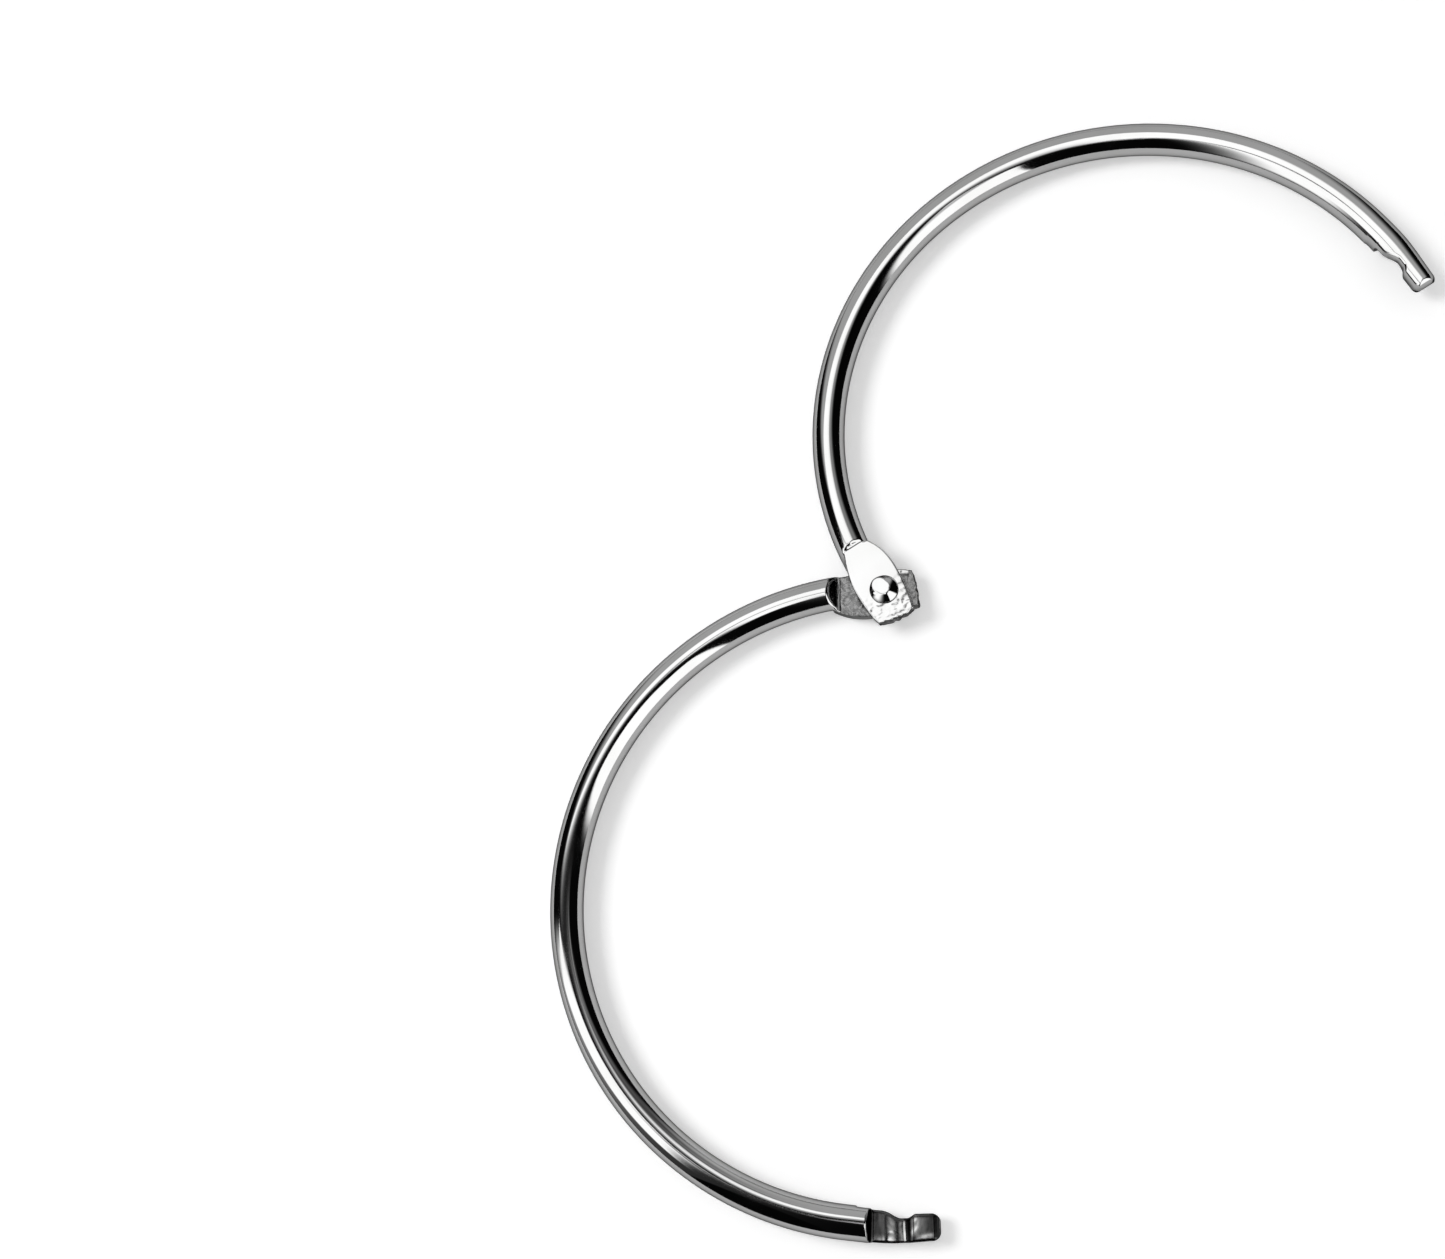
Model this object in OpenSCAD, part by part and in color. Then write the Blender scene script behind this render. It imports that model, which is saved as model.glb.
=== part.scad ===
// Binder ring: two like half rings of round steel wire, joined by a rivet at one end and
// hooked together at the other. One half has the upper layer at the rivet and at the hook,
// the other the lower one, so a half turn about X carries either half onto the other.
// Both lie in the plane z = 0. X runs from the rivet through the middle of the mouth, and
// the origin is the middle of the open ring's box.

/* [Wire] */
// Diameter of the round wire
wire_d = 4.2; // [3.6:0.1:5]
// Radius inside the bend
bend_inside_r = 37.3; // [30:0.1:50]
// Straight length at either end of the bend, up to the line from rivet to latch
end_straight = 1.9; // [0.5:0.1:5]
// How far the rivet stands in from the line of the wire's end
rivet_inset = 0.65; // [0:0.05:1]

/* [Pose] */
// Angle between the two halves, 0 when the latch is closed
opening = 120; // [90:1:125]

/* [Hinge plates] */
// Thickness of the flattened end
plate_t = 1.5; // [1:0.05:1.7]
// Gap between the two plates
plate_gap = 0.1; // [0.06:0.01:0.2]
// Width of a plate at its widest
plate_w = 6.3; // [5.6:0.1:8]
// Width of a plate where it runs into the wire
plate_neck_w = 3; // [2.6:0.1:3.4]
// Width of a plate at its cut end
plate_end_w = 4.7; // [4:0.1:5.4]
// Rivet to the widest place
plate_widest = 2.5; // [1.5:0.1:3.5]
// Rivet to the cut end
plate_end = 4.05; // [3:0.05:5]
// Radius of the cut end in plan
plate_end_r = 6; // [4:0.5:12]
// Rivet to the foot of the step at the end of the outer face
outer_face = 7; // [6:0.1:9]
// Radius of that step's hollow
outer_step_r = 0.8; // [0.6:0.05:1.5]
// Rivet to the foot of the shoulder at the end of the mating face
mating_face = 5.7; // [5.5:0.1:6.5]
// Radius of that shoulder's hollow
shoulder_r = 1.5; // [0.5:0.1:2]

/* [Rivet] */
// Diameter of the shank
shank_d = 2; // [1.4:0.1:2.6]
// Running clearance round the shank, on the radius
shank_clear = 0.05; // [0.03:0.01:0.09]
// Diameter of the domed head on the upper plate
head_d = 3.6; // [3.2:0.1:4.6]
// Diameter of the peened head under the lower plate
peened_d = 3.9; // [3.2:0.1:4.6]
// Height of either head
head_h = 1.25; // [0.8:0.05:1.5]
// Gap between a head and its plate
head_gap = 0.05; // [0.04:0.01:0.1]
// How much of its dome the peening flattened off the lower head
peened_flat = 0.2; // [0.1:0.05:0.4]
// Radius of the punch's ball point, which left a hollow in that flat
punch_r = 1; // [0.6:0.1:1.4]
// Depth of the hollow
punch_depth = 0.12; // [0.05:0.01:0.15]

/* [Latch hooks] */
// Middle of the lap to the tip of a hook
hook_len = 4; // [3:0.1:6]
// How far the two hooks catch behind each other
hook_bite = 0.7; // [0.4:0.05:0.9]
// Gap between the faces of the lap
lap_gap = 0.08; // [0.04:0.01:0.2]
// Play between the catching walls
wall_gap = 0.2; // [0.1:0.02:0.5]
// Gap between a tip and the shoulder of the other half
tip_gap = 0.25; // [0.15:0.05:0.6]
// Radius in the root of the lap's shoulder
lap_root_r = 0.4; // [0.1:0.05:0.5]
// Depth of the nick in the inner edge of the hook
nick_depth = 0.8; // [0.4:0.05:1]
// Middle of the lap to the corner where the nick starts
nick_start = 2.3; // [1.5:0.1:2.8]
// Depth of the step at that corner
nick_step = 0.3; // [0.1:0.05:0.4]
// Middle of the lap to the deepest place of the nick, towards the tip
nick_low = 0.4; // [0:0.1:0.8]
// Middle of the lap to where the nose begins, towards the tip
nose_start = 1.1; // [0.9:0.1:2]
// How far the nose stands back from the wire's inner edge
nose_inset = 0.35; // [0.1:0.05:0.6]
// How far the tip stands back from the wire's outer edge
tip_taper = 0.4; // [0.1:0.05:0.6]
// Radius of the tip's inner corner in plan
tip_inner_r = 1.1; // [0.4:0.1:1.4]
// Radius of the tip's outer corner in plan
tip_outer_r = 0.5; // [0.3:0.1:1]
// Radius of the tip's round end, seen from the side
tip_round_r = 1.7; // [1.5:0.1:4]

/* [Hidden] */
$fn = 96;
eps = 0.01;
half_turn = 180;
quarter_turn = 90;
wire_r = wire_d / 2;
bend_r = bend_inside_r + wire_r;
latch_x = 2 * bend_r - rivet_inset;
// How far a cutter reaches past the wire and the plate
over = max(wire_d, plate_w);
// Heights of the upper plate's two faces, and of the seat of the rivet's head
mating_z = plate_gap / 2;
outer_z = mating_z + plate_t;
seat_z = outer_z + head_gap;
// Heights of the upper hook's lap: the neck is thin, and the nose reaches lower
neck_z = (hook_bite + lap_gap) / 2;
nose_z = (lap_gap - hook_bite) / 2;
lap_start = -hook_len - tip_gap;
// Inner and outer edge of the hook's tip, across the wire
tip_inner_v = nose_inset - wire_r;
tip_outer_v = wire_r - tip_taper;
// The open ring's box along X from the rivet: the bend's outer side and the tip's outer corner
half_open = opening / 2;
bend_x = bend_r - rivet_inset;
box_low_x = bend_x * cos(half_open) - end_straight * sin(half_open) - bend_r - wire_r;
tip_corner_x = latch_x + tip_outer_v - tip_outer_r;
tip_corner_y = tip_outer_r - hook_len;
box_high_x = tip_corner_x * cos(half_open) - tip_corner_y * sin(half_open) + tip_outer_r;
rivet_x = -(box_low_x + box_high_x) / 2;

// Radius of an arc that starts level and drops by drop over run
function arc_r(run, drop) = (run * run + drop * drop) / (2 * drop);

// Wire of one half, from beside the rivet, which is at x = 0, to the hook's tip at
// x = latch_x: a straight, a half circle on the +Y side, and a straight.
module wire() {
    translate([-rivet_inset, 0, 0])
        rotate([-quarter_turn, 0, 0])
            cylinder(r = wire_r, h = end_straight + eps);
    translate([bend_x, end_straight, 0])
        rotate_extrude(angle = half_turn)
            translate([bend_r, 0])
                circle(r = wire_r);
    translate([latch_x, -hook_len, 0])
        rotate([-quarter_turn, 0, 0])
            cylinder(r = wire_r, h = hook_len + end_straight + eps);
}

// The plate's outline between y0 and y1: what two arcs of radius r enclose, one for each
// side, which are as far apart as the plate's width at the widest place.
module between_arcs(y0, y1, r) {
    intersection() {
        translate([plate_w / 2 - r, plate_widest, 0])
            cylinder(r = r, h = plate_t);
        translate([r - plate_w / 2, plate_widest, 0])
            cylinder(r = r, h = plate_t);
        translate([-over, y0, 0])
            cube([2 * over, y1 - y0, plate_t]);
    }
}

// Flattened end of the wire: an almond in plan, cut off in a shallow arc past the rivet.
module plate() {
    neck_side_r = arc_r(outer_face - plate_widest, (plate_w - plate_neck_w) / 2);
    end_side_r = arc_r(plate_widest + plate_end, (plate_w - plate_end_w) / 2);
    translate([0, 0, mating_z]) {
        between_arcs(plate_widest, outer_face, neck_side_r);
        intersection() {
            between_arcs(-over, plate_widest, end_side_r);
            translate([0, plate_end_r - plate_end, 0])
                cylinder(r = plate_end_r, h = plate_t);
        }
    }
}

// Takes away what lies above z = 0 from beyond the cut end to y = foot, where the metal
// rises in a hollow of radius r.
module step_cut(foot, r) {
    rotate([quarter_turn, 0, quarter_turn])
        translate([0, 0, -over])
            linear_extrude(2 * over) {
                translate([-over, 0])
                    square([over + foot, over]);
                translate([-over, r])
                    square([over + foot + r, over]);
                translate([foot, r])
                    circle(r = r);
            }
}

// What flattening takes off the wire, above its outer face and below its mating face.
module flattening() {
    translate([0, 0, outer_z])
        step_cut(outer_face, outer_step_r);
    translate([0, 0, mating_z])
        mirror([0, 0, 1])
            step_cut(mating_face, shoulder_r);
}

// What rounds off a corner that lies at the origin, with the metal on the side of -X and -Y.
module corner_cut(r) {
    difference() {
        translate([-r, -r])
            square(r + over);
        translate([-r, -r])
            circle(r = r);
    }
}

// Extrudes a side view of the hook, drawn in u and z, through the whole width of the wire.
module across_wire() {
    rotate([quarter_turn, 0, 0])
        translate([0, 0, -over])
            linear_extrude(2 * over)
                children();
}

// What makes a hook of the wire's end. It is set out in u, from the middle of the lap
// towards the tip, and in v, outwards across the wire.
module hook_cut() {
    // Under the nose, and deeper under the neck up to the lap's shoulder
    across_wire() {
        translate([lap_start, -over])
            square([over - lap_start, over + nose_z]);
        difference() {
            translate([lap_start, -over])
                square([wall_gap / 2 - lap_start, over + neck_z]);
            translate([lap_start, neck_z])
                difference() {
                    translate([-eps, -lap_root_r])
                        square(lap_root_r + eps);
                    translate([lap_root_r, -lap_root_r])
                        circle(r = lap_root_r);
                }
        }
    }
    // Beyond the tip's round end
    across_wire()
        difference() {
            translate([hook_len - tip_round_r, -over])
                square([tip_round_r + over, 2 * over]);
            translate([hook_len - tip_round_r, (wire_r + nose_z) / 2])
                circle(r = tip_round_r);
        }
    // Plan: nick and nose on the inner side, taper on the outer side, corners of the tip
    translate([0, 0, -over])
        linear_extrude(2 * over) {
            polygon([
                [-nick_start, -wire_r - over],
                [-nick_start, -wire_r],
                [-nick_start + nick_step / 2, -wire_r + nick_step],
                [nick_low, -wire_r + nick_depth],
                [nose_start, tip_inner_v],
                [hook_len + over, tip_inner_v],
                [hook_len + over, -wire_r - over]
            ]);
            polygon([
                [-nick_start, wire_r],
                [hook_len - tip_outer_r, tip_outer_v],
                [hook_len + over, tip_outer_v],
                [hook_len + over, wire_r + over],
                [-nick_start, wire_r + over]
            ]);
            translate([hook_len, tip_outer_v])
                corner_cut(tip_outer_r);
            translate([hook_len, tip_inner_v])
                mirror([0, 1])
                    corner_cut(tip_inner_r);
        }
}

// One half in the upper layer, with the rivet at the origin and the latch on +X.
module half_ring() {
    difference() {
        union() {
            difference() {
                wire();
                flattening();
                translate([latch_x, 0, 0])
                    rotate([0, 0, -quarter_turn])
                        hook_cut();
            }
            plate();
        }
        translate([0, 0, -over])
            cylinder(d = shank_d + 2 * shank_clear, h = 2 * over);
    }
}

module upper_half_ring() {
    color([0.80, 0.80, 0.82])
        translate([rivet_x, 0, 0])
            rotate([0, 0, half_open])
                half_ring();
}

module lower_half_ring() {
    color([0.72, 0.72, 0.74])
        translate([rivet_x, 0, 0])
            rotate([half_turn, 0, 0])
                rotate([0, 0, half_open])
                    half_ring();
}

// Head of the rivet on the plate's outer face: a cap of a ball, of diameter d and height h,
// of which no more than head_h is left.
module head(d, h) {
    ball_r = arc_r(d / 2, h);
    intersection() {
        translate([0, 0, seat_z + h - ball_r])
            sphere(r = ball_r);
        translate([0, 0, seat_z])
            cylinder(d = 2 * d, h = head_h);
    }
}

// Shank through both plates, the made head on the upper one, and under the lower one the
// peened head with the mark of a round punch.
module rivet() {
    color([0.75, 0.75, 0.76])
        translate([rivet_x, 0, 0]) {
            cylinder(d = shank_d, h = 2 * seat_z + eps, center = true);
            head(head_d, head_h);
            mirror([0, 0, 1])
                difference() {
                    head(peened_d, head_h + peened_flat);
                    translate([0, 0, seat_z + head_h + punch_r - punch_depth])
                        sphere(r = punch_r);
                }
        }
}

upper_half_ring();
lower_half_ring();
rivet();
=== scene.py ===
import math

import bmesh
import bpy
from mathutils import Matrix, Vector, noise


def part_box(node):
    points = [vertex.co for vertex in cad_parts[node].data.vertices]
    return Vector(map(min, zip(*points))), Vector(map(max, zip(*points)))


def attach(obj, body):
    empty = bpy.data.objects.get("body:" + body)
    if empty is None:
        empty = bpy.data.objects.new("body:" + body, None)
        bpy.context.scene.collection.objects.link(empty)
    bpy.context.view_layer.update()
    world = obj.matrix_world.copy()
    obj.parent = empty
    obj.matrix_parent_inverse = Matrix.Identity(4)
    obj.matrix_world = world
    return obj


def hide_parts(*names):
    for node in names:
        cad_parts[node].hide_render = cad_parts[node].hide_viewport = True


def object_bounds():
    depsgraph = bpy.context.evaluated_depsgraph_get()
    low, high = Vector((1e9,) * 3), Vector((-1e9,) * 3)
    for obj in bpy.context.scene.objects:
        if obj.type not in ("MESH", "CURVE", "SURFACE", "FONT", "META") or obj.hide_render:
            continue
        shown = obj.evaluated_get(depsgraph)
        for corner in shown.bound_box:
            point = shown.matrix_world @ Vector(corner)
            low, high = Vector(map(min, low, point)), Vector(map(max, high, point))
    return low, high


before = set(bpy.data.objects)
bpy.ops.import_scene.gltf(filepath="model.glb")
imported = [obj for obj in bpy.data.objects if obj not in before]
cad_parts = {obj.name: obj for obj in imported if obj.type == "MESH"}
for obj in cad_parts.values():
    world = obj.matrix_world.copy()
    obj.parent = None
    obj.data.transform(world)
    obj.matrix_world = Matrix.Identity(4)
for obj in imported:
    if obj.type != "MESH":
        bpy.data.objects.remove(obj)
cad_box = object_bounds()

# ---------------------------------------------------------------------------------------
# Lower half ring. Round mild steel wire, cut to length straight, its two ends squeezed in
# dies, then bent to a half circle and nickel plated. One end is a plate with the rivet's
# hole, the other a hook. It lies turned over, with its plate and its hook underneath.
# ---------------------------------------------------------------------------------------

# Lengths are in millimetres until a piece is put in its place. A pair of runs or depths is
# where a change begins and where it is complete.
MM = 0.001

# The wire and its bend. Its middle line passes the rivet at the inset.
WIRE_R = 2.1
BEND_R = 39.4
END_STRAIGHT = 1.9
RIVET_INSET = 0.65
LATCH_RUN = 2 * END_STRAIGHT + math.pi * BEND_R
HALF_OPEN = math.radians(60)
AROUND = 96

# The flattened end. Runs count from the rivet along the wire, and heights from the plane
# between the two plates.
MATING_Z = 0.05
OUTER_Z = 1.55
PLATE_HALF_W = 3.05
PLATE_END_HALF_W = 2.35
PLATE_WIDEST = 1.8
PLATE_LEAN = 0.06
LEAN_FROM = 4.5
NECK_HALF_W = 1.65
NECK_FILLET = 0.25
PLATE_CORNER = 0.16
DIE_DEEPER = 0.4
DIE_CORNER = 0.2
DIE_OPENS = 0.1
DIE_FLARE = 8
OUTER_FACE = 7.0
OUTER_STEP_R = 0.42
MATING_FACE = 5.7
SHOULDER_DROP = 1.15
SHOULDER_CURVE = 1.7
SHOULDER_EDGE_R = 0.7
SHOULDER_EDGE = (MATING_FACE + 0.6, MATING_FACE + 1.3)
BARE_WIRE = (5.0, 8.4)
RIVET_HOLE_R = 1.05

# Its sheared end: how far it slants, over what width, where it stands out most, how far
# back the slant reaches, and the wire's length that the cut closes
PLATE_END = 4.12
CUT_SLANT = 0.7
CUT_W = 3.85
CUT_LONGEST = -1.0
CUT_REACH = 2.0
CUT_CLOSE = 0.75

# The hook. Its runs count from the middle of the lap towards its tip.
HOOK_LEN = 4.1
LAP_START = -4.2
LAP_STEEP = 9
NECK_Z = 0.39
NOSE_Z = -0.31
CATCH_WALL = (-0.35, 0.95)
ROOT_R = 0.4
NECK_HOLLOW = 0.15
NECK_HOLLOW_ENDS = (-2.6, -0.8)
LAP_EDGE_R = 0.35
NOSE_EDGE_R = 0.3
EDGE_CHANGE = (LAP_START, LAP_START + 1.5)
NICK = (-3.1, -0.5)
NICK_DEPTH = 1.1
NICK_EDGE_R = 0.6
NOSE_INSET = 0.65
NOSE_SWELL = (0.3, 1.3)
TIP_TAPER = 0.4
TAPER = (-4.1, 5.1)
TIP_INNER_R = 1.0
TIP_OUTER_R = 0.9
TIP_ROUND_R = 0.9
TIP_EDGE_R = 0.05
TIP_SPARE = 0.1
THINNEST = 0.02
TIP_CLOSED = 0.03


def ease(x, low, high):
    """0 below low, 1 above high, and a smooth rise between them."""
    t = min(max((x - low) / (high - low), 0.0), 1.0)
    return t * t * (3 - 2 * t)


def fade(x, low, high):
    """1 below low, 0 above high, and a smooth fall between them."""
    return 1 - ease(x, low, high)


def between(a, b, t):
    """a where t is 0, b where t is 1."""
    return a + (b - a) * t


def least(a, b, soft):
    """The smaller of two, with a fillet of about that size where they meet."""
    h = max(soft - abs(a - b), 0.0) / soft
    return min(a, b) - h * h * soft / 4


def most(a, b, soft):
    """The larger of two, with an edge rounded by about that size where they meet."""
    return -least(-a, -b, soft)


def arc_radius(run, drop):
    """Radius of the arc that falls by drop over that run from its crown."""
    return (run * run + drop * drop) / (2 * drop)


def arc_drop(radius, run):
    """How far an arc has fallen at that run from its crown."""
    return radius - math.sqrt(max(radius * radius - run * run, 0.0))


NECK_SIDE_R = arc_radius(OUTER_FACE - PLATE_WIDEST, PLATE_HALF_W - NECK_HALF_W)
END_SIDE_R = arc_radius(PLATE_WIDEST + PLATE_END, PLATE_HALF_W - PLATE_END_HALF_W)


def plate_half_width(y):
    """Half the plate's width, which narrows on an arc each way from its widest place."""
    side = NECK_SIDE_R if y > PLATE_WIDEST else END_SIDE_R
    return PLATE_HALF_W - arc_drop(side, y - PLATE_WIDEST)


def plate_middle(y):
    """How far the plate's middle line stands out from the rivet, away from the ring."""
    return PLATE_LEAN * max(LEAN_FROM - y, 0.0)


def cut_end(out):
    """Where the sheared end lies, at a point that far out from the rivet's line."""
    return -PLATE_END + CUT_SLANT * ((out - CUT_LONGEST) / CUT_W) ** 2


def outer_die(y):
    """Height of the die over the outer face, which lets the wire rise again past the face."""
    if y < OUTER_FACE:
        return OUTER_Z
    if y < OUTER_FACE + OUTER_STEP_R:
        return OUTER_Z + arc_drop(OUTER_STEP_R, y - OUTER_FACE)
    return OUTER_Z + OUTER_STEP_R + (y - OUTER_FACE - OUTER_STEP_R)


def mating_die(y):
    """Height of the die under the mating face, down the hollow slope of the shoulder."""
    return MATING_Z - SHOULDER_DROP * max(y - MATING_FACE, 0.0) ** SHOULDER_CURVE


def lap_die(u):
    """Height of the die under the hook: full wire, neck, catching wall, nose."""
    neck = NECK_Z + NECK_HOLLOW * fade(u, *NECK_HOLLOW_ENDS)
    if u < LAP_START + ROOT_R:
        neck -= arc_drop(ROOT_R, LAP_START + ROOT_R - u)
    if u < LAP_START:
        neck = NECK_Z + NECK_HOLLOW - ROOT_R - LAP_STEEP * (LAP_START - u)
    return between(neck, NOSE_Z, ease(u, *CATCH_WALL))


def inner_edge(u):
    """How far the hook's inner side stands from the wire's middle line, nicked and rounded."""
    low = NICK_DEPTH * ease(u, *NICK)
    nose = (NICK_DEPTH - NOSE_INSET) * ease(u, *NOSE_SWELL)
    edge = WIRE_R - low + nose
    corner = HOOK_LEN - TIP_INNER_R
    return edge - (arc_drop(TIP_INNER_R, u - corner) if u > corner else 0)


def outer_edge(u):
    """The same for the hook's outer side, which tapers towards the tip."""
    edge = WIRE_R - TIP_TAPER * ease(u, *TAPER)
    corner = HOOK_LEN - TIP_OUTER_R
    return edge - (arc_drop(TIP_OUTER_R, u - corner) if u > corner else 0)


# The search for a point of the section goes to twice as far as its aim
HALVINGS = 17
SEARCHED = 2.0


def squeezed(section, middle, aim):
    """The point of the section that lies from its middle towards aim."""
    low, high = 0.0, SEARCHED
    for _ in range(HALVINGS):
        half = (low + high) / 2
        v = between(middle[0], aim[0], half)
        z = between(middle[1], aim[1], half)
        if section(v, z) < 0:
            low = half
        else:
            high = half
    return between(middle[0], aim[0], low), between(middle[1], aim[1], low)


# The share of the points round the plate that go to its two edges
SHORT_SIDE_SHARE = 25 / 90


def even_aim(angle, half_w, half_h):
    """A point on a box for each angle, spread evenly over its long and its short sides."""
    quarter = abs(math.atan2(math.sin(angle), abs(math.cos(angle)))) / (math.pi / 2)
    if quarter < SHORT_SIDE_SHARE:
        across, up = 1.0, quarter / SHORT_SIDE_SHARE
    else:
        across, up = (1 - quarter) / (1 - SHORT_SIDE_SHARE), 1.0
    return (
        math.copysign(across * half_w, math.cos(angle)),
        math.copysign(up * half_h, math.sin(angle)),
    )


# How far the plate's finishes reach from a die's face, and where they end along the wire.
# The mating face is dull and dark, partly its crushed grey and partly painted shade, with a
# darker band near its outer corner and the edge beyond that band left bright. The sheared
# end is painted dark as shade.
SMOOTH_DEPTH = (0.02, 0.25)
MATING_DULL_AND_PAINTED_SHADE = 0.85
MATING_DEPTH = (0.03, 0.3)
MATING_END = (5.5, 6.2)
HAMMERED_END = (-1.0, 1.3)
CUT_PAINTED_SHADE = 0.75
CUT_PAINTED_SHADE_DEPTH = (0.02, 0.2)
CORNER_BAND_START = (-3.7, -3.2)
CORNER_BAND_END = (-1.3, -0.8)
CORNER_BAND_DARK = 0.15
CORNER_BAND_DARK_OUT = (1.3, 1.6)
CORNER_BAND_BRIGHT_OUT = (1.75, 2.0)

# A point's place across the plate is found from this far out, in a few steps
SIDE_GUESS = 2.0
SIDE_STEPS = 4


def plate_point(run, angle):
    """Where the plate's dies send a point of the wire: across, along, height, and painted
    shade.
    """
    shut = 0.0
    if run < -PLATE_END:
        shut = (-PLATE_END - run) / CUT_CLOSE
        run = -PLATE_END
    lean = max(run - END_STRAIGHT, 0.0) / BEND_R
    sin, cos = math.sin(lean), math.cos(lean)

    def reach(v):
        """How far a point v outside the middle line comes past the rivet, once bent."""
        return run if run < END_STRAIGHT else END_STRAIGHT + (BEND_R + v) * sin

    sides = []
    for side in (-1, 1):
        v = side * SIDE_GUESS
        for _ in range(SIDE_STEPS):
            y = reach(v)
            out = BEND_R - RIVET_INSET + plate_middle(y) + side * plate_half_width(y)
            v = out / cos - BEND_R
        sides.append(v)
    centre = (sides[0] + sides[1]) / 2
    half_plate = (sides[1] - sides[0]) / 2
    opened = DIE_FLARE * max(reach(0) - OUTER_FACE - DIE_OPENS, 0.0)

    def section(v, z):
        """Below 0 inside the pressed wire, above 0 outside it."""
        y = reach(v)
        wire = math.hypot(v, z) - WIRE_R
        beside = abs(v - centre) - half_plate
        over = abs(z - (OUTER_Z + MATING_Z) / 2) - (OUTER_Z - MATING_Z) / 2 - DIE_DEEPER
        flat = most(beside, over, DIE_CORNER)
        body = flat if run < 0 else least(wire, flat + opened, NECK_FILLET)
        body = most(body, z - outer_die(y), PLATE_CORNER)
        edge = between(PLATE_CORNER, SHOULDER_EDGE_R, ease(y, *SHOULDER_EDGE))
        return most(body, mating_die(y) - z, edge)

    top = min(outer_die(reach(0)), WIRE_R)
    foot = max(mating_die(reach(0)), -WIRE_R)
    half_h = (top - foot) / 2
    to_plate = fade(run, *BARE_WIRE)
    half_w = between(WIRE_R, half_plate, to_plate)
    middle = (centre * to_plate, (top + foot) / 2)
    box = even_aim(angle, half_w, half_h)
    ring = (half_w * math.cos(angle), between(WIRE_R, half_h, to_plate) * math.sin(angle))
    aim = [m + between(r, b, to_plate) for m, r, b in zip(middle, ring, box)]
    v, z = squeezed(section, middle, aim)

    y = reach(v)
    # Smooth outer face; mating face darkened, partly its crushed grey and partly painted
    # shade, more in a band near its outer corner and not at the edge beyond
    smooth = fade(abs(z - outer_die(y)), *SMOOTH_DEPTH)
    dull_and_painted_shade = MATING_DULL_AND_PAINTED_SHADE * fade(abs(z - mating_die(y)), *MATING_DEPTH) * fade(y, *MATING_END)
    beaten = max(dull_and_painted_shade, smooth * fade(run, *HAMMERED_END))
    corner_band = dull_and_painted_shade * ease(run, *CORNER_BAND_START) * fade(run, *CORNER_BAND_END)
    dull_and_painted_shade += corner_band * (CORNER_BAND_DARK * ease(v, *CORNER_BAND_DARK_OUT) - ease(v, *CORNER_BAND_BRIGHT_OUT))
    # The sheared end's face is painted dark as shade, darker where the wire closes
    if run <= -PLATE_END:
        smooth, dull_and_painted_shade, beaten = 0.0, CUT_PAINTED_SHADE * ease(shut, *CUT_PAINTED_SHADE_DEPTH), 0.0
    if run <= CUT_REACH - PLATE_END:
        slanted = fade(run, -PLATE_END, CUT_REACH - PLATE_END)
        run += (cut_end(v + RIVET_INSET) + PLATE_END) * slanted
    if shut:
        z = between(z, middle[1], min(shut, 1.0))
    return v, run, z, (smooth, dull_and_painted_shade, beaten)


# Painted highlights: bright streaks painted on a hook's face, which is itself painted dark
# as a dark reflection: how bright, and where along the hook each comes and goes. Then where
# those that run along it lie across it, and the shapes of those that cross it.
SLOPE_SHINE = (0.42, (-4.2, -1.0), (0.1, 0.35))
TAIL_SHINE = (0.3, (1.1, 1.4), (1.4, 3.2))
NECK_SHINE = (0.6, (-2.7, -2.2), (-1.0, -0.4))
NOSE_SHINE = (0.65, (1.3, 2.0), (3.0, 3.5))
NECK_OUT, NECK_STREAK_W = 0.6, 0.15
NOSE_OUT, NOSE_STREAK_W, NOSE_LEAN = 1.4, 0.22, 0.1
CROSS_AT, CROSS_W, CROSS_LEAN = -0.15, 0.24, 0.15
CROSS_SHINE, CROSS_GROWS = (0.15, 0.8), (0.2, 1.1)
WALL_AT, WALL_W, WALL_END = 1.25, 0.27, (0.4, 1.4)
WALL_BOW, WALL_BOWS = 0.3, (-0.2, 1.0)
FACE_INNER, FACE_OUTER = (0.1, 0.7), (0.1, 0.5)
FLANK_AT, FLANK_LONG, FLANK_IN, FLANK_W = -2.5, 0.85, 0.6, 0.32


def streak(x, half_w):
    """1 on a thin line, and next to nothing a few half widths away."""
    return math.exp(-(x / half_w) ** 2)


def streak_strength(u, shine, comes, goes):
    """Brightness at a run of a streak that comes and goes along the hook."""
    return shine * ease(u, *comes) * fade(u, *goes)


def painted_streaks(u, v, inside, outside):
    """Painted highlights: bright streaks painted on the face of a hook, which is painted dark.
    """
    cross = streak(u - CROSS_AT - CROSS_LEAN * v, CROSS_W)
    cross *= between(*CROSS_SHINE, ease(v, *CROSS_GROWS))
    wall = streak(u - WALL_AT + WALL_BOW * ease(v, *WALL_BOWS), WALL_W) * fade(v, *WALL_END)
    neck = streak_strength(u, *NECK_SHINE) * streak(v - NECK_OUT, NECK_STREAK_W)
    nose = streak_strength(u, *NOSE_SHINE) * streak(v - NOSE_OUT + NOSE_LEAN * u, NOSE_STREAK_W)
    face = streak_strength(u, *SLOPE_SHINE) + cross + wall + streak_strength(u, *TAIL_SHINE) + neck + nose
    face *= ease(v + inside, *FACE_INNER) * ease(outside - v, *FACE_OUTER)
    flank = streak(v - outside + FLANK_IN, FLANK_W) * streak(u - FLANK_AT, FLANK_LONG)
    return min(face + flank, 1.0)


# How far the dark tone painted on the hook as a dark reflection reaches from its pressed
# face, there and at the tip, and two fainter painted greys: on its sides and along its outer
# rim
FACE_PAINTED_DARK = (0.03, 0.4)
TIP_PAINTED_DARK = (0.5, 1.2)
AT_TIP = (2.9, 3.7)
SIDE_GREY, SIDE_GREY_DEPTH, SIDE_GREY_START = 0.5, (0.5, 1.3), (-3.2, -2.4)
RIM_GREY, RIM_GREY_OUT, RIM_GREY_START = 0.75, (-0.5, -0.15), (-4.0, 0.5)
HOOK_BEATEN = 0.1


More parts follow.
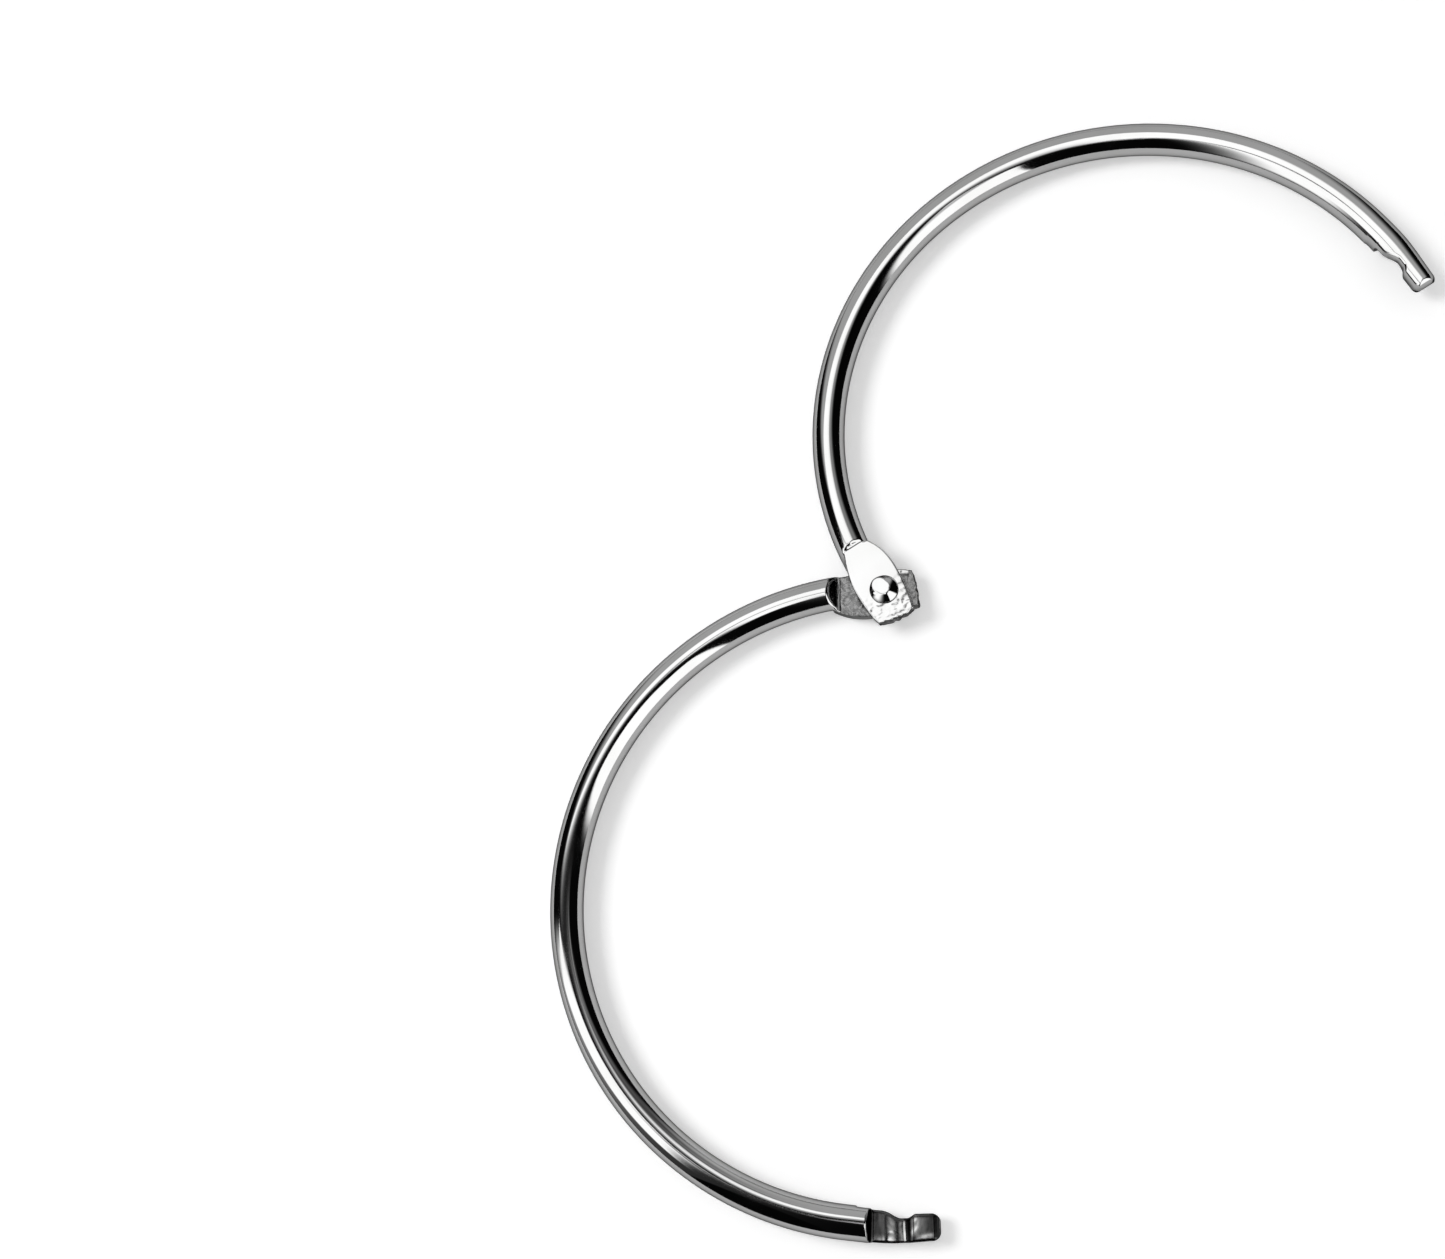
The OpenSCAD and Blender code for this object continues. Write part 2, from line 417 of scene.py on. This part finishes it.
def hook_point(run, angle):
    """Where the hook's dies send a point: across, along, height, and painted highlights and
    dark.
    """
    u = run - LATCH_RUN
    roof = math.inf
    round_from = HOOK_LEN - TIP_ROUND_R
    middle_z = (WIRE_R + NOSE_Z) / 2
    if u > round_from:
        swing = (u - round_from) / TIP_ROUND_R * math.pi / 2
        u = round_from + TIP_ROUND_R * math.sin(swing)
        roof = (WIRE_R - NOSE_Z + TIP_SPARE) / 2 * math.cos(swing)
    inside, outside = inner_edge(u), outer_edge(u)
    floor = lap_die(u)

    def section(v, z):
        """Below 0 inside the pressed wire, above 0 outside it."""
        side = WIRE_R if v < 0 else outside
        wire = (math.hypot(v / side, z / WIRE_R) - 1) * side
        body = most(wire, -v - inside, NICK_EDGE_R)
        edge = between(LAP_EDGE_R, NOSE_EDGE_R, ease(u, *EDGE_CHANGE))
        body = most(body, floor - z, edge)
        if roof < math.inf:
            body = most(body, abs(z - middle_z) - roof, TIP_EDGE_R)
        return body

    top = min(WIRE_R, middle_z + roof)
    foot = max(-WIRE_R, floor, middle_z - roof)
    middle = ((outside - inside) / 2, (top + foot) / 2)
    aim = (
        middle[0] + (outside + inside) / 2 * math.cos(angle),
        middle[1] + max(top - foot, THINNEST) / 2 * math.sin(angle),
    )
    if roof < TIP_CLOSED:
        v, z = aim[0], middle_z
    else:
        v, z = squeezed(section, middle, aim)

    # Face and tip painted dark as a dark reflection; sides and outer rim painted grey
    away = abs(z - floor)
    at_tip = ease(u, *AT_TIP)
    depth = [between(face, tip, at_tip) for face, tip in zip(FACE_PAINTED_DARK, TIP_PAINTED_DARK)]
    side = SIDE_GREY * fade(away, *SIDE_GREY_DEPTH) * ease(u, *SIDE_GREY_START)
    rim = RIM_GREY * ease(v - outside, *RIM_GREY_OUT) * ease(u, *RIM_GREY_START)
    dull_and_painted_shade = max(fade(away, *depth), side, rim)
    # Painted highlights: bright streaks on the dark painted face
    bright = dull_and_painted_shade * painted_streaks(u, v, inside, outside)
    return v, LATCH_RUN + u, z, (bright, dull_and_painted_shade, HOOK_BEATEN * dull_and_painted_shade)


def bend_wire(v, run):
    """Plan position of a point at that run along the wire and v outside its middle line."""
    if run < END_STRAIGHT:
        return -RIVET_INSET - v, run
    if run > LATCH_RUN - END_STRAIGHT:
        return 2 * BEND_R - RIVET_INSET + v, LATCH_RUN - run
    lean = (run - END_STRAIGHT) / BEND_R
    reach = BEND_R + v
    return BEND_R - RIVET_INSET - reach * math.cos(lean), END_STRAIGHT + reach * math.sin(lean)


# The wire is drawn in stretches, fine where it is pressed: where each ends, and its steps
STRETCHES = (
    (-PLATE_END, 7),
    (BARE_WIRE[1], 104),
    (12, 15),
    (LATCH_RUN - 8, 238),
    (LATCH_RUN - 5, 15),
    (LATCH_RUN + HOOK_LEN - TIP_ROUND_R, 73),
    (LATCH_RUN + HOOK_LEN, 14),
)
PLATE_DIES_TO = 9
HOOK_DIES_FROM = LATCH_RUN - 6

# Faces this level and this near the rivet's line are punched out
LEVEL = 0.9
PUNCHED_R = 1.22 * RIVET_HOLE_R

# Points nearer than the first are one, and edges shorter than the second are dropped
MERGED = 0.002
SLIVER = 0.001


def bent_wire():
    """One half: wire drawn, cut, pressed at both ends, pierced for the rivet and bent."""
    bm = bmesh.new()
    reached = -PLATE_END - CUT_CLOSE
    start = Matrix.Translation((0, reached, 0)) @ Matrix.Rotation(math.pi / 2, 4, "X")
    bmesh.ops.create_circle(bm, segments=AROUND, radius=WIRE_R, matrix=start)
    end_ring = list(bm.edges)
    for upto, steps in STRETCHES:
        drawn = bmesh.ops.spin(bm, geom=end_ring, axis=(0, 0, 1), angle=0, steps=steps,
                               dvec=(0, (upto - reached) / steps, 0))
        end_ring = [e for e in drawn["geom_last"] if isinstance(e, bmesh.types.BMEdge)]
        reached = upto

    grain = bm.verts.layers.float_vector.new("grain")
    finish_and_painted_light = bm.verts.layers.float_vector.new("finish_and_painted_light")
    for vert in bm.verts:
        v, run, z = vert.co
        pressed = (0.0, 0.0, 0.0)
        angle = math.atan2(z, v)
        vert[grain] = (run, math.cos(angle), math.sin(angle))
        if run < PLATE_DIES_TO:
            v, run, z, pressed = plate_point(run, angle)
        elif run > HOOK_DIES_FROM:
            v, run, z, pressed = hook_point(run, angle)
        vert.co = (v, run, z)
        vert[finish_and_painted_light] = pressed

    bm.normal_update()
    punched = [
        f for f in bm.faces
        if abs(f.normal.z) > LEVEL
        and all(math.hypot(w.co.x + RIVET_INSET, w.co.y) < PUNCHED_R for w in f.verts)
    ]
    bmesh.ops.delete(bm, geom=punched, context="FACES")
    rims = [e for e in bm.edges
            if e.is_boundary and all(abs(w.co.y) < 2 * RIVET_HOLE_R for w in e.verts)]
    for vert in {w for e in rims for w in e.verts}:
        across = vert.co.x + RIVET_INSET
        out = RIVET_HOLE_R / math.hypot(across, vert.co.y)
        vert.co = (across * out - RIVET_INSET, vert.co.y * out, vert.co.z)
    bmesh.ops.bridge_loops(bm, edges=rims)

    for vert in bm.verts:
        x, y = bend_wire(vert.co.x, vert.co.y)
        vert.co = (x, y, vert.co.z)
    bmesh.ops.remove_doubles(bm, verts=bm.verts, dist=MERGED)
    bmesh.ops.dissolve_degenerate(bm, edges=bm.edges, dist=SLIVER)
    bmesh.ops.recalc_face_normals(bm, faces=bm.faces)
    return bm


pressing = bent_wire()

# Hammer marks, coarse and fine: how close across and along, how strong, and a batch apart
DENT_DEPTH = 0.05
DENTS = ((0.8, 1.6, 1.5, 0), (1.9, 2.6, 0.9, 5))
DENT_RANGE = (-0.9, 0.9)
DENTED_UP_TO = 0.9

# The hook is bent out over its last stretch, and the sheared end is torn a little
HOOK_BENT = (0.0, 7.0)
TORN = 0.22
TORN_REACH = (-4.0, -2.0)
TORN_SCALE = (2.2, 1.1)
TORN_APART = 9


def dent(x, y, batch):
    """Depth of a hammer mark, 0 to 1, different on each pressing."""
    blows = sum(strong * noise.noise(Vector((across * x, along * y, batch + apart)))
                for across, along, strong, apart in DENTS)
    return ease(blows, *DENT_RANGE)


def linked(bm, name):
    """The piece that a finished bmesh makes, in the scene under that name."""
    mesh = bpy.data.meshes.new(name)
    bm.to_mesh(mesh)
    bm.free()
    piece = bpy.data.objects.new(name, mesh)
    bpy.context.scene.collection.objects.link(piece)
    return piece


def half_ring(name, placed, batch, hook_out):
    """A pressing with marks of its own, its hook bent out a little, set in its place."""
    bm = pressing.copy()
    finish_and_painted_light = bm.verts.layers.float_vector["finish_and_painted_light"]
    for vert in bm.verts:
        x, y, z = vert.co
        beaten = vert[finish_and_painted_light][2]
        if x > BEND_R and y < HOOK_BENT[1]:
            vert.co.x += hook_out * fade(y, *HOOK_BENT)
        if beaten:
            inward = 1 if z < DENTED_UP_TO else -1
            vert.co.z += inward * DENT_DEPTH * beaten * dent(x, y, batch)
        if x < BEND_R and y < TORN_REACH[1]:
            at = Vector((TORN_SCALE[0] * x, TORN_SCALE[1] * z, batch + TORN_APART))
            vert.co.y += TORN * noise.noise(at) * fade(y, *TORN_REACH)
    bmesh.ops.transform(bm, matrix=placed @ Matrix.Scale(MM, 4), verts=bm.verts)
    piece = linked(bm, name)
    piece.data.shade_smooth()
    return piece


class Shade:
    """An output of a shader node. Python's operators on it add Math nodes."""

    def __init__(self, tree, socket=None):
        self.tree, self.socket = tree, socket

    def node(self, kind, settings=None, sockets=None, output=0):
        """A new node of that kind in the same tree, as the output asked for."""
        made = self.tree.nodes.new("ShaderNode" + kind)
        for key, value in (settings or {}).items():
            setattr(made, key, value)
        for key, value in (sockets or {}).items():
            if isinstance(value, Shade):
                self.tree.links.new(value.socket, made.inputs[key])
            else:
                made.inputs[key].default_value = value
        return Shade(self.tree, made.outputs[output] if made.outputs else None)

    def beside(self, output):
        """Another output of the same node."""
        return Shade(self.tree, self.socket.node.outputs[output])

    def maths(self, operation, *values):
        """A Math node on those values."""
        return self.node("Math", {"operation": operation}, dict(enumerate(values)))

    def __add__(self, other):
        return self.maths("ADD", self, other)

    __radd__ = __add__

    def __sub__(self, other):
        return self.maths("SUBTRACT", self, other)

    def __rsub__(self, other):
        return self.maths("SUBTRACT", other, self)

    def __mul__(self, other):
        return self.maths("MULTIPLY", self, other)

    __rmul__ = __mul__

    def rise(self, low, high):
        """0 up to low and 1 from high, with a smooth rise between them."""
        return self.node("MapRange", {"interpolation_type": "SMOOTHSTEP"},
                         {0: self, 1: low, 2: high, 3: 0.0, 4: 1.0})

    def tint(self, first, second):
        """The first colour where this is 0, the second where it is 1."""
        return self.node("Mix", {"data_type": "RGBA"}, {0: self, 6: first, 7: second},
                         output=2)

    def speckle(self, scale, detail, rough, distortion=0.0):
        """Noise at these coordinates."""
        return self.node("TexNoise", None, {
            "Vector": self, "Scale": scale, "Detail": detail, "Roughness": rough,
            "Distortion": distortion})


def blank(owner):
    """The empty node tree of a new material or world, ready for its nodes."""
    owner.use_nodes = True
    owner.node_tree.nodes.clear()
    return Shade(owner.node_tree)


def grey(level):
    """An even grey of that level, and white at 1."""
    return (level, level, level, 1)


# The plating: its tones, a near black for crushed metal and painted shade, and the tint of
# its gloss at a low angle
NICKEL = 0.36
SMUDGED = (0.93 * NICKEL, 0.93 * NICKEL, 0.92 * NICKEL, 1)
CRUSHED_AND_PAINTED_SHADE_TONE = 0.08 * NICKEL
EDGE_GLOSS = 0.2

# Its patterns: scale to the metre, detail, roughness and distortion. The drawn lines are
# stretched along the wire, and scaled round it.
LINE_STRETCH = (0.07, 22.0, 22.0)
LINES = (1.0, 2.0, 0.6)
SMUDGES = (120.0, 3.0, 0.6)
PITS = (1900.0, 2.0, 0.6)
BLOWS = (650.0, 1.0, 0.5)
CRUSHED = (1500.0, 3.0, 0.7, 1.5)

# Their heights in millimetres, and what each adds to the roughness
LINE_H, PIT_H, BLOW_H, CRUSHED_H = 0.0015, 0.0006, 0.02, 0.03
CLEAN_ROUGH, SMUDGE_ROUGH, BEATEN_ROUGH = 0.05, 0.05, 0.03
MATT_ROUGH, CRUSHED_ROUGH = 0.1, 0.25

# Where each pattern shows, in its own values
SMUDGE_ROUGHENS = (0.45, 0.75)
SMUDGE_TINTS = (0.3, 0.8)
CRUSHED_ROUGHENS = (0.3, 0.7)
CRUSHED_SHINES = (0.42, 0.62)
CRUSHED_SHINE = 0.45
MOTTLED_STEEP = 6.0


def nickel_plate(name):
    """Bright nickel over steel drawn through a die and squeezed at its ends, with painted
    shade.
    """
    material = bpy.data.materials.new(name)
    shade = blank(material)
    place = shade.node("TexCoord", output="Object")
    grain = shade.node("Attribute", {"attribute_name": "grain"}, output="Vector")
    finish_and_painted_light = shade.node("Attribute", {"attribute_name": "finish_and_painted_light"}, output="Vector")
    # First value: the plate's smooth face and the hook's painted highlights; second: crushed
    # faces and painted shade; third: hammering
    smooth = shade.node("SeparateXYZ", None, {0: finish_and_painted_light})
    dull_and_painted_shade, beaten = smooth.beside(1), smooth.beside(2)

    # Lines from the drawing die run along the wire and fade where the press flattened it
    along = shade.node("Mapping", {"vector_type": "POINT"}, {0: grain, "Scale": LINE_STRETCH})
    lines = along.speckle(*LINES)
    smudge = place.speckle(*SMUDGES)
    crushed = place.speckle(*CRUSHED)
    flat = shade.maths("MAXIMUM", smooth, dull_and_painted_shade)
    matt_and_painted_shade = dull_and_painted_shade * (1 - smooth)
    mottled = shade.maths("MINIMUM", MOTTLED_STEEP * (1 - dull_and_painted_shade), 1.0)

    relief = LINE_H * lines * (1 - flat) + PIT_H * place.speckle(*PITS)
    relief += BLOW_H * place.speckle(*BLOWS) * beaten + CRUSHED_H * crushed * matt_and_painted_shade * mottled
    bump = shade.node("Bump", None, {"Height": relief, "Strength": 1.0, "Distance": MM})

    shine = CLEAN_ROUGH + SMUDGE_ROUGH * smudge.rise(*SMUDGE_ROUGHENS) + BEATEN_ROUGH * beaten
    shine += matt_and_painted_shade * (MATT_ROUGH + CRUSHED_ROUGH * mottled * crushed.rise(*CRUSHED_ROUGHENS))

    worn = smudge.rise(*SMUDGE_TINTS).tint(grey(NICKEL), SMUDGED)
    # Dark places go towards near black: partly crushed grey, partly painted shade and painted
    # dark reflection, with lighter mottles
    darkened = matt_and_painted_shade * (1 - CRUSHED_SHINE * mottled * crushed.rise(*CRUSHED_SHINES))
    plated = shade.node("BsdfPrincipled", None, {
        "Base Color": darkened.tint(worn, grey(CRUSHED_AND_PAINTED_SHADE_TONE)), "Metallic": 1.0,
        "Roughness": shine, "Normal": bump, "Specular Tint": grey(EDGE_GLOSS)})
    shade.node("OutputMaterial", None, {"Surface": plated})
    return material


# Which marks each half has, and how far its hook is bent out
LOWER_BATCH, LOWER_HOOK_OUT = 3.1, 0.3

rivet_low, rivet_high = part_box("rivet")
at_rivet = Matrix.Translation((rivet_low + rivet_high) / 2)
turned_over = Matrix.Rotation(math.pi, 4, "X")
swung_open = Matrix.Rotation(HALF_OPEN, 4, "Z")

lower_half = half_ring("nickel_lower_half", at_rivet @ turned_over @ swung_open,
                       LOWER_BATCH, LOWER_HOOK_OUT)
lower_half.data.materials.append(nickel_plate("nickel_lower"))
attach(lower_half, "lower_half")
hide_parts("lower_half_ring")

# ---------------------------------------------------------------------------------------
# Upper half ring. The same pressing as the lower one, the right way up: its plate lies on
# the other's under the rivet's made head, and its hook catches over the other's.
# ---------------------------------------------------------------------------------------
UPPER_BATCH, UPPER_HOOK_OUT = 7.6, 0.15

upper_half = half_ring("nickel_upper_half", at_rivet @ swung_open,
                       UPPER_BATCH, UPPER_HOOK_OUT)
upper_half.data.materials.append(nickel_plate("nickel_upper"))
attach(upper_half, "upper_half")
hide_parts("upper_half_ring")

# ---------------------------------------------------------------------------------------
# Rivet. A nickel plated steel pin through both plates: its made head is the bright dome on
# the upper plate, and its far end was peened over under the lower one with a round punch.
# ---------------------------------------------------------------------------------------
SHANK_R = 1.0
HEAD_GAP = 0.05
SEAT_Z = OUTER_Z + HEAD_GAP

# The made head, a cap on a short rim. It is flat on top, leans a little, and is fuller on
# one side. Places on it are in the plan of the ring turned as it lies.
TURNED = 29.36
HEAD_R = 1.85
HEAD_FOOT_IN = 0.03
HEAD_RIM = 0.15
HEAD_H = 1.0
HEAD_STEPS = 24
HEAD_FLAT = 0.84
HEAD_FLAT_EDGE_R = 0.06
HEAD_LEAN = (0.035, -0.017)
FULLER_AT = (-0.5, 0.4)
FULLER_R = 0.9
FULLER_STEEP = 2.0
FULLER_H = 0.1
FULLER_FILLET = 0.1

# The peened head, a taller cap cut off flat, with the punch's hollow in the flat
PEENED_R = 1.95
PEENED_H = 1.25
PEENED_FLAT = 0.2
PEENED_STEPS = 16
FLAT_STEPS = 3
PUNCH_R = 1.0
PUNCH_DEPTH = 0.12
PUNCH_STEPS = 8

# The turned pin: steps round it, and the bevel of its sharp edges
RIVET_AROUND = 64
RIVET_MERGED = 0.001
SHARP = 0.9
RIVET_BEVEL = 0.08

around = Matrix.Rotation(math.radians(TURNED), 4, "Z")


def made_head():
    """Radii and heights of the made head, from its foot to its crown."""
    ball = arc_radius(HEAD_R, HEAD_H - HEAD_RIM)
    edge = math.asin(HEAD_R / ball)
    slopes = [edge * (1 - i / HEAD_STEPS) for i in range(HEAD_STEPS + 1)]
    cap = [(ball * math.sin(a), ball * math.cos(a) - ball + HEAD_H) for a in slopes]
    return [(HEAD_R - HEAD_FOOT_IN, 0.0)] + cap


def peened_head():
    """Radii and heights of the peened head, from its rim to the middle of the punch's mark."""
    ball = arc_radius(PEENED_R, PEENED_H + PEENED_FLAT)
    sunk = ball - PEENED_H - PEENED_FLAT
    heights = [PEENED_H * i / PEENED_STEPS for i in range(PEENED_STEPS + 1)]
    side = [(math.sqrt(ball ** 2 - (h + sunk) ** 2), h) for h in heights]
    mark = math.sqrt(PUNCH_R ** 2 - (PUNCH_R - PUNCH_DEPTH) ** 2)
    flat = [(between(side[-1][0], mark, i / FLAT_STEPS), PEENED_H)
            for i in range(1, FLAT_STEPS + 1)]
    inwards = [mark * (1 - i / PUNCH_STEPS) for i in range(1, PUNCH_STEPS + 1)]
    hollow = [(r, PEENED_H - PUNCH_DEPTH + arc_drop(PUNCH_R, r)) for r in inwards]
    return side + flat + hollow


def headed(x, y, height):
    """Height of the made head at a point of its plan, flattened and filled out."""
    out = math.hypot(x - FULLER_AT[0], y - FULLER_AT[1])
    fuller = min(FULLER_STEEP * (FULLER_R - out), 0.0) + HEAD_FLAT + FULLER_H
    height = most(height, fuller, FULLER_FILLET)
    flat = HEAD_FLAT + HEAD_LEAN[0] * x + HEAD_LEAN[1] * y
    return least(height, flat, HEAD_FLAT_EDGE_R)


profile = [(r, -SEAT_Z - h) for r, h in reversed(peened_head())]
profile += [(SHANK_R, z) for z in (-SEAT_Z, -SEAT_Z / 2, SEAT_Z / 2, SEAT_Z)]
profile += [(r, SEAT_Z + h) for r, h in made_head()]

bm = bmesh.new()
outline = [bm.verts.new((r, 0, z)) for r, z in profile]
for a, b in zip(outline, outline[1:]):
    bm.edges.new((a, b))
bmesh.ops.spin(bm, geom=list(bm.edges), cent=(0, 0, 0), axis=(0, 0, 1), angle=2 * math.pi,
               steps=RIVET_AROUND, use_merge=True)
bmesh.ops.remove_doubles(bm, verts=bm.verts, dist=RIVET_MERGED)
bmesh.ops.bevel(bm, geom=[e for e in bm.edges if e.calc_face_angle(0) > SHARP],
                offset=RIVET_BEVEL, segments=3, profile=0.5, affect="EDGES", material=-1)
for vert in bm.verts:
    if vert.co.z > SEAT_Z + HEAD_RIM:
        x, y, z = around.inverted() @ vert.co
        vert.co.z = SEAT_Z + headed(x, y, z - SEAT_Z)
bmesh.ops.transform(bm, matrix=at_rivet @ Matrix.Scale(MM, 4), verts=bm.verts)
bmesh.ops.recalc_face_normals(bm, faces=bm.faces)
rivet = linked(bm, "nickel_rivet")
rivet.data.shade_smooth()
rivet.data.materials.append(nickel_plate("nickel_rivet_plate"))
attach(rivet, "rivet")
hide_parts("rivet")

# ---------------------------------------------------------------------------------------
# Table. A matt white board that the ring lies on: the rivet's peened head stands on it and
# the wire clears it by less than a millimetre. It is as white as the background beyond it,
# also in what the ring reflects, and keeps the ring's soft shadow.
# ---------------------------------------------------------------------------------------
BOARD_HALF = 3.0

# Its paint under the lamps, its paint as seen, and the glow that lifts it to white, less
# near the ring than further out, in metres from the ring's middle
LIT_WHITE = 0.45
SEEN_WHITE = 0.9
GLOW_NEAR, GLOW_FAR = 0.31, 0.57
GLOW_CHANGE = (0.2, 0.9)

bm = bmesh.new()
bmesh.ops.create_grid(bm, x_segments=4, y_segments=4, size=BOARD_HALF,
                      matrix=Matrix.Translation((0, 0, cad_box[0][2])))
board = linked(bm, "table_board")

board_paint = bpy.data.materials.new("table_white")
paint = blank(board_paint)
to_camera = paint.node("LightPath")
seen_by = (to_camera + to_camera.beside("Is Glossy Ray")
           + to_camera.beside("Is Transmission Ray"))
lit = paint.node("BsdfDiffuse", None, {"Color": grey(LIT_WHITE)})
seen = paint.node("BsdfDiffuse", None, {"Color": grey(SEEN_WHITE)})
from_middle = paint.node("VectorMath", {"operation": "LENGTH"}, {
    0: paint.node("TexCoord", output="Object")}, output="Value")
glow = paint.node("Emission", None, {
    "Color": from_middle.rise(*GLOW_CHANGE).tint(grey(GLOW_NEAR), grey(GLOW_FAR)),
    "Strength": 1.0})
table_top = paint.node("MixShader", None, {
    0: paint.maths("MINIMUM", seen_by, 1.0), 1: lit,
    2: paint.node("AddShader", None, {0: seen, 1: glow})})
paint.node("OutputMaterial", None, {"Surface": table_top})
board.data.materials.append(board_paint)

# ---------------------------------------------------------------------------------------
# Studio. A plain soft room light, one lamp that casts the shadow, and panels with soft
# edges beside and over the table. Seven of them glow, two are dark, and they show only in
# what shines.
# ---------------------------------------------------------------------------------------

# The middle of the view, from the rivet, in the plan of the ring turned as it lies
PIVOT = (21.05, 3.68)
middle_of_view = Matrix.Translation(at_rivet.translation) @ around @ Matrix.Translation(
    (-PIVOT[0] * MM, -PIVOT[1] * MM, 0))

# Bearing, distance and height of the middle in mm, turn, lean back, half width and height,
# softness of the edges in mm, glow
PANELS = (
    (95, 272, 438, -11, -134, 130, 353, 35, 2.80),
    (175, 27, 654, 73, -5, 46, 649, 35, 2.80),
    (186, 579, 605, 67, -21, 347, 341, 35, 2.80),
    (320, 566, 689, 41, 6, 305, 819, 35, 2.80),
    (100, 379, 367, -5, -29, 441, 470, 130, 0.90),
    (28, 48, 130, 36, -20, 25, 92, 35, 0.00),
    (269, 335, 2176, -70, 90, 468, 178, 103, 2.80),
    (36, 209, 13211, -131, 90, 195, 327, 14, 2.80),
    (52, 52, 120, 29, 90, 16, 7, 7, 0.00),
)
FALL_OFF = 2.2


def soft_panel(number, bearing, away, up, turn, lean, half_w, half_h, soft, glow):
    """A panel at that bearing, turned and leant, whose light fades out over its edges."""
    bm = bmesh.new()
    bmesh.ops.create_grid(bm, x_segments=1, y_segments=1, size=MM)
    bmesh.ops.scale(bm, vec=(half_w + soft, half_h + soft, 1), verts=bm.verts)
    panel = linked(bm, f"studio_panel_{number}")
    panel.matrix_world = (
        middle_of_view @ Matrix.Rotation(math.radians(bearing), 4, "Z")
        @ Matrix.Translation((away * MM, 0, up * MM))
        @ Matrix.Rotation(math.radians(turn + 90), 4, "Z")
        @ Matrix.Rotation(math.radians(lean + 90), 4, "X"))
    for rays in ("camera", "diffuse", "transmission", "volume_scatter", "shadow"):
        setattr(panel, "visible_" + rays, False)

    cloth = bpy.data.materials.new(panel.name)
    weave = blank(cloth)
    spot = weave.node("SeparateXYZ", None, {0: weave.node("TexCoord", output="Object")})
    across = weave.maths("ABSOLUTE", spot).rise((half_w - soft) * MM, (half_w + soft) * MM)
    over = weave.maths("ABSOLUTE", spot.beside(1)).rise(
        (half_h - soft) * MM, (half_h + soft) * MM)
    shown = weave.maths("POWER", (1 - across) * (1 - over), FALL_OFF)
    both = weave.node("MixShader", None, {
        0: shown, 1: weave.node("BsdfTransparent"),
        2: weave.node("Emission", None, {"Color": grey(1), "Strength": glow})})
    weave.node("OutputMaterial", None, {"Surface": both})
    panel.data.materials.append(cloth)


for number, panel in enumerate(PANELS):
    soft_panel(number, *panel)

# The room is white to the camera, soft light on the ring, and next to black in its shine
ROOM_LIGHT = 0.5
ROOM_DARK = 0.004

world = bpy.data.worlds.new("studio")
bpy.context.scene.world = world
room = blank(world)
to_camera = room.node("LightPath")
dark_to_gloss = 1 - to_camera.beside("Is Glossy Ray")
strength = ROOM_LIGHT * dark_to_gloss * (1 - to_camera) + to_camera + ROOM_DARK
light = room.node("Background", None, {"Color": grey(1), "Strength": strength})
room.node("OutputWorld", None, {"Surface": light})

# The lamp's diameter and its place out from the ring's middle and up, in metres, its watts
# and its bearing
KEY_W = 0.35
KEY_OUT = 0.45
KEY_UP = 0.6
KEY_WATTS = 2.5
KEY_BEARING = 174

key = bpy.data.lights.new("key_panel", "AREA")
key.shape = "DISK"
key.size = KEY_W
key.energy = KEY_WATTS
key_lamp = bpy.data.objects.new("key_panel", key)
bpy.context.scene.collection.objects.link(key_lamp)
key_turn = Matrix.Rotation(math.radians(KEY_BEARING + TURNED), 4, "Z")
key_from = key_turn @ Vector((KEY_OUT, 0, KEY_UP))
key_lamp.location = key_from
key_lamp.rotation_euler = (-key_from).to_track_quat("-Z", "Y").to_euler()
key_lamp.visible_glossy = False

# ---------------------------------------------------------------------------------------
# Camera and colour. The camera stands about 320 mm off and looks down on the open ring,
# from a little to its lower right. Colours come out as they are written.
# ---------------------------------------------------------------------------------------
PICTURE_W = 1445
FOCAL_PX = 2500
MM_PER_PX = 0.1281
TILT_UP = math.radians(16.94)
TILT_SIDE = math.radians(10.34)
SENSOR_W = 36
NEAREST_SEEN, FARTHEST_SEEN = 0.01, 20

lens = bpy.data.cameras.new("camera")
lens.sensor_fit = "HORIZONTAL"
lens.sensor_width = SENSOR_W
lens.lens = SENSOR_W * FOCAL_PX / PICTURE_W
lens.clip_start = NEAREST_SEEN
lens.clip_end = FARTHEST_SEEN
camera = bpy.data.objects.new("camera", lens)
bpy.context.scene.collection.objects.link(camera)
tilt = Matrix.Rotation(TILT_SIDE, 4, "Y") @ Matrix.Rotation(TILT_UP, 4, "X")
stand = Matrix.Translation(tilt @ Vector((0, 0, FOCAL_PX * MM_PER_PX * MM)))
camera.matrix_world = middle_of_view @ stand @ tilt
bpy.context.scene.camera = camera
bpy.context.scene.view_settings.view_transform = "Standard"
